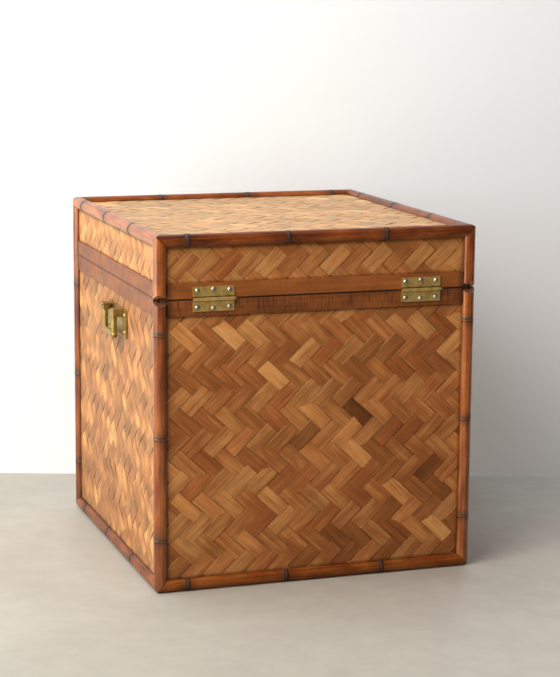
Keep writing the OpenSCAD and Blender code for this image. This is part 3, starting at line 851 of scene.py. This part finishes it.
def edge_rods():
    """The lid's and the base's four rods each, mitred into one another."""
    for part, body in (("lid", "lid"), ("base", "trunk_body")):
        for side, first in RING_AT.items():
            half_run = HALF_W if side in ("back", "front") else HALF_D
            rings = [half_run + first + k * RING_PITCH for k in range(-RING_REACH, RING_REACH + 1)]
            rings = [s for s in rings if RING_CLEAR < s < 2 * half_run - RING_CLEAR]
            place = edge_place(side, part == "lid")
            bamboo("%s_rod_%s" % (part, side), body, EDGE_RODS[part], 2 * half_run, rings, place)


def corner_rods():
    """The uprights, in two lengths that part at the seam."""
    rings = [RING_UPRIGHT + FOOT + k * RING_PITCH for k in range(UPRIGHT_RINGS)]
    for end, way_y in (("front", -1), ("back", 1)):
        for side, way_x in (("left", -1), ("right", 1)):
            seam = "bevelled" if end == "back" else "flat"
            low, high = corner_place(way_x, way_y, False), corner_place(way_x, way_y, True)
            bamboo("corner_rod_%s_%s" % (end, side), "trunk_body", RODS, BODY_TOP + FOOT, rings, low, seam)
            bamboo("lid_corner_%s_%s" % (end, side), "lid", RODS, HEIGHT - LID_BOTTOM, [], high, seam)


edge_rods()
corner_rods()


# CAD pieces that keep their shape

LONG_BANDS = {"lid": (0.65, 0.12), "body": (0.47, 0.62)}    # tone, and how dark the cross marks are
SIDE_BAND_TONE, SIDE_BAND_MARKS = 0.47, 0.42
LONG_CLOSENESS, SIDE_CLOSENESS = 420.0, 95.0                # cross marks to the metre
LONG_SEAM, SIDE_SEAM = 0.12, 0.50                           # share of light left by the dirt and painted shade at the seam
BAND_BEVEL, HINGE_BEVEL, HANDLE_BEVEL, SCREW_BEVEL = 0.7, 0.2, 0.5, 0.12   # in mm


def dress(names, material, bevel=0.0, segments=2):
    """Material and softened edges for CAD pieces."""
    for name in names:
        part = NODES[name]
        part.data.materials.clear()
        part.data.materials.append(material)
        if bevel:
            edge = part.modifiers.new("edge", "BEVEL")
            edge.width = bevel * MM
            edge.segments = segments
            edge.limit_method = "ANGLE"
            edge.angle_limit = SHARP


def dress_bands():
    """The bands along the back and front, and those along the sides, of the lid and of the body."""
    half_long, half_side = HALF_W - ROD_EDGE, HALF_D - ROD_EDGE
    for part, (tone, marks) in LONG_BANDS.items():
        long_band = band_wood(part + "_band_long", 0, 1, half_long, tone, marks, LONG_CLOSENESS, LONG_SEAM)
        side_band = band_wood(
            part + "_band_side", 1, 0, half_side, SIDE_BAND_TONE, SIDE_BAND_MARKS, SIDE_CLOSENESS, SIDE_SEAM,
        )
        dress([part + "_band_front", part + "_band_back"], long_band, BAND_BEVEL, 3)
        dress([part + "_band_left", part + "_band_right"], side_band, BAND_BEVEL, 3)


dress([n for n in NODES if n.endswith("_panel")], PLY)
dress_bands()
dress([n for n in NODES if n.startswith("hinge_") and "screws" not in n], HINGE_BRASS, HINGE_BEVEL)
dress([n for n in NODES if n.startswith("handle_") and "screws" not in n], HANDLE_BRASS, HANDLE_BEVEL, 3)
dress([n for n in NODES if n.startswith("hinge_screws")], NICKEL, SCREW_BEVEL)
dress(["handle_screws"], HANDLE_BRASS, SCREW_BEVEL)


# Camera, fitted to the photo, in degrees and m

AZIMUTH, ELEVATION, ROLL = 161.193, 10.359, 0.470
MIDDLE = Vector((0, 0, 0.245))                          # the point that the camera is placed from
BACK_OFF, TO_RIGHT, UPWARD = 3.15591, 0.02668, 0.07079  # along the camera's own axes
FOCAL, PHOTO_WIDTH = 2004.621, 560.0                    # in pixels
SENSOR = 36.0                                           # in mm
CLIP_END = 50.0


def camera():
    """The photo's camera, and its directions to the right and backwards."""
    a, e, r = math.radians(AZIMUTH), math.radians(ELEVATION), math.radians(ROLL)
    back = Vector((math.sin(a) * math.cos(e), -math.cos(a) * math.cos(e), math.sin(e)))
    side = Vector((math.cos(a), math.sin(a), 0.0))
    rise = back.cross(side)
    right = side * math.cos(r) + rise * math.sin(r)
    up = rise * math.cos(r) - side * math.sin(r)
    spot = MIDDLE + back * BACK_OFF + right * TO_RIGHT + up * UPWARD
    data = bpy.data.cameras.new("camera")
    data.sensor_fit = "HORIZONTAL"
    data.sensor_width = SENSOR
    data.lens = SENSOR * FOCAL / PHOTO_WIDTH
    data.clip_end = CLIP_END
    cam = bpy.data.objects.new("camera", data)
    cam.matrix_world = Matrix((
        (right.x, up.x, back.x, spot.x), (right.y, up.y, back.y, spot.y),
        (right.z, up.z, back.z, spot.z), (0, 0, 0, 1),
    ))
    bpy.context.collection.objects.link(cam)
    bpy.context.scene.camera = cam
    return right, back


RIGHT, BACK = camera()
ASIDE, TOWARD = Vector((RIGHT.x, RIGHT.y, 0)).normalized(), Vector((BACK.x, BACK.y, 0)).normalized()


def ground(across, away, z=0.0):
    """A point above the floor: across to the right of the view and away from the trunk towards the camera."""
    p = ASIDE * across + TOWARD * away
    return (p.x, p.y, z)


# Floor, wall and lights, in m

FLOOR_HALF = 8.0
WALL_HALF, WALL_HEIGHT, WALL_AT = 6.0, 5.0, -0.38
WALL_GLOW_STRENGTH = 0.12
LAMP_AIM = Vector((0, 0, 0.3))
WORLD_STRENGTH = 0.19
LIGHTS = (                     # name, place, size, power in W and colour
    ("window", ground(-1.72, 0.90, 0.82), (2.0, 1.64), 40.5, (0.95, 1.03, 0.93)),
    ("ceiling", ground(-0.9, 0.2, 2.8), (2.0, 2.0), 48.0, (0.88, 1.08, 1.18)),
    ("room", ground(-1.2, 1.8, 2.3), (1.4, 1.4), 63.0, (1.10, 0.95, 0.87)),
    ("behind", ground(1.4, -2.2, 0.4), (1.8, 0.6), 16.0, (1.0, 1.0, 1.0)),
)


def plane(name, corners, material):
    """A flat piece of the stage."""
    mesh = bpy.data.meshes.new(name)
    mesh.from_pydata(corners, [], [tuple(range(len(corners)))])
    obj = bpy.data.objects.new(name, mesh)
    bpy.context.collection.objects.link(obj)
    mesh.materials.append(material)


def floor_material():
    """Mottled grey-brown floor."""
    g = Graph("floor")
    where = g.position()
    mottle = g.noise(where, 2.2, 6.0, 0.62, 0.6)
    fine = g.noise(where, 26.0, 4.0, 0.6)
    colour = g.shade(g.ramp(mottle, FLOOR_RANGE), g.fit(fine, 0.3, 0.7, 0.95, 1.04))
    return g.surface(colour=colour, rough=0.55, specular=0.3)


def wall_material():
    """A wall that is there from the front only, so that the trunk can be seen and lit from behind it too. It
    looks paler than its own light, to the eye and in reflections."""
    g = Graph("wall")
    path = g.add("ShaderNodeLightPath").outputs
    seen = g.math("MAXIMUM", path["Is Glossy Ray"], path["Is Transmission Ray"])
    seen = g.math("MAXIMUM", path["Is Camera Ray"], seen)
    g.surface(
        colour=WALL_PAINT, rough=0.8, specular=0.2,
        glow=g.times(seen, WALL_GLOW_STRENGTH), glow_colour=WALL_GLOW,
    )
    behind = g.add("ShaderNodeNewGeometry").outputs["Backfacing"]
    mixed = g.add("ShaderNodeMixShader")
    g.link(g.math("MAXIMUM", behind, path["Is Shadow Ray"]), mixed.inputs[0])
    g.link(g.bsdf.outputs[0], mixed.inputs[1])
    g.link(g.add("ShaderNodeBsdfTransparent").outputs[0], mixed.inputs[2])
    g.link(mixed.outputs[0], g.out.inputs["Surface"])
    return g.mat


def light(name, spot, size, power, colour):
    """A rectangular lamp, turned to the trunk."""
    data = bpy.data.lights.new(name, "AREA")
    data.shape = "RECTANGLE"
    data.size, data.size_y = size
    data.energy = power
    data.color = colour
    obj = bpy.data.objects.new(name, data)
    obj.location = spot
    obj.rotation_euler = (LAMP_AIM - Vector(spot)).to_track_quat("-Z", "Y").to_euler()
    bpy.context.collection.objects.link(obj)


def world_light(strength):
    """Even white light from all around."""
    world = bpy.data.worlds.new("world")
    world.use_nodes = True
    background = world.node_tree.nodes["Background"]
    background.inputs[0].default_value = (1.0, 1.0, 1.0, 1.0)
    background.inputs[1].default_value = strength
    bpy.context.scene.world = world


floor_corners = ((-1, 1), (1, 1), (1, -1), (-1, -1))
plane("floor", [ground(a * FLOOR_HALF, b * FLOOR_HALF) for a, b in floor_corners], floor_material())
wall_corners = ((-WALL_HALF, 0.0), (WALL_HALF, 0.0), (WALL_HALF, WALL_HEIGHT), (-WALL_HALF, WALL_HEIGHT))
plane("wall", [ground(across, WALL_AT, z) for across, z in wall_corners], wall_material())
for lamp in LIGHTS:
    light(*lamp)
world_light(WORLD_STRENGTH)
bpy.context.scene.view_settings.view_transform = "Standard"
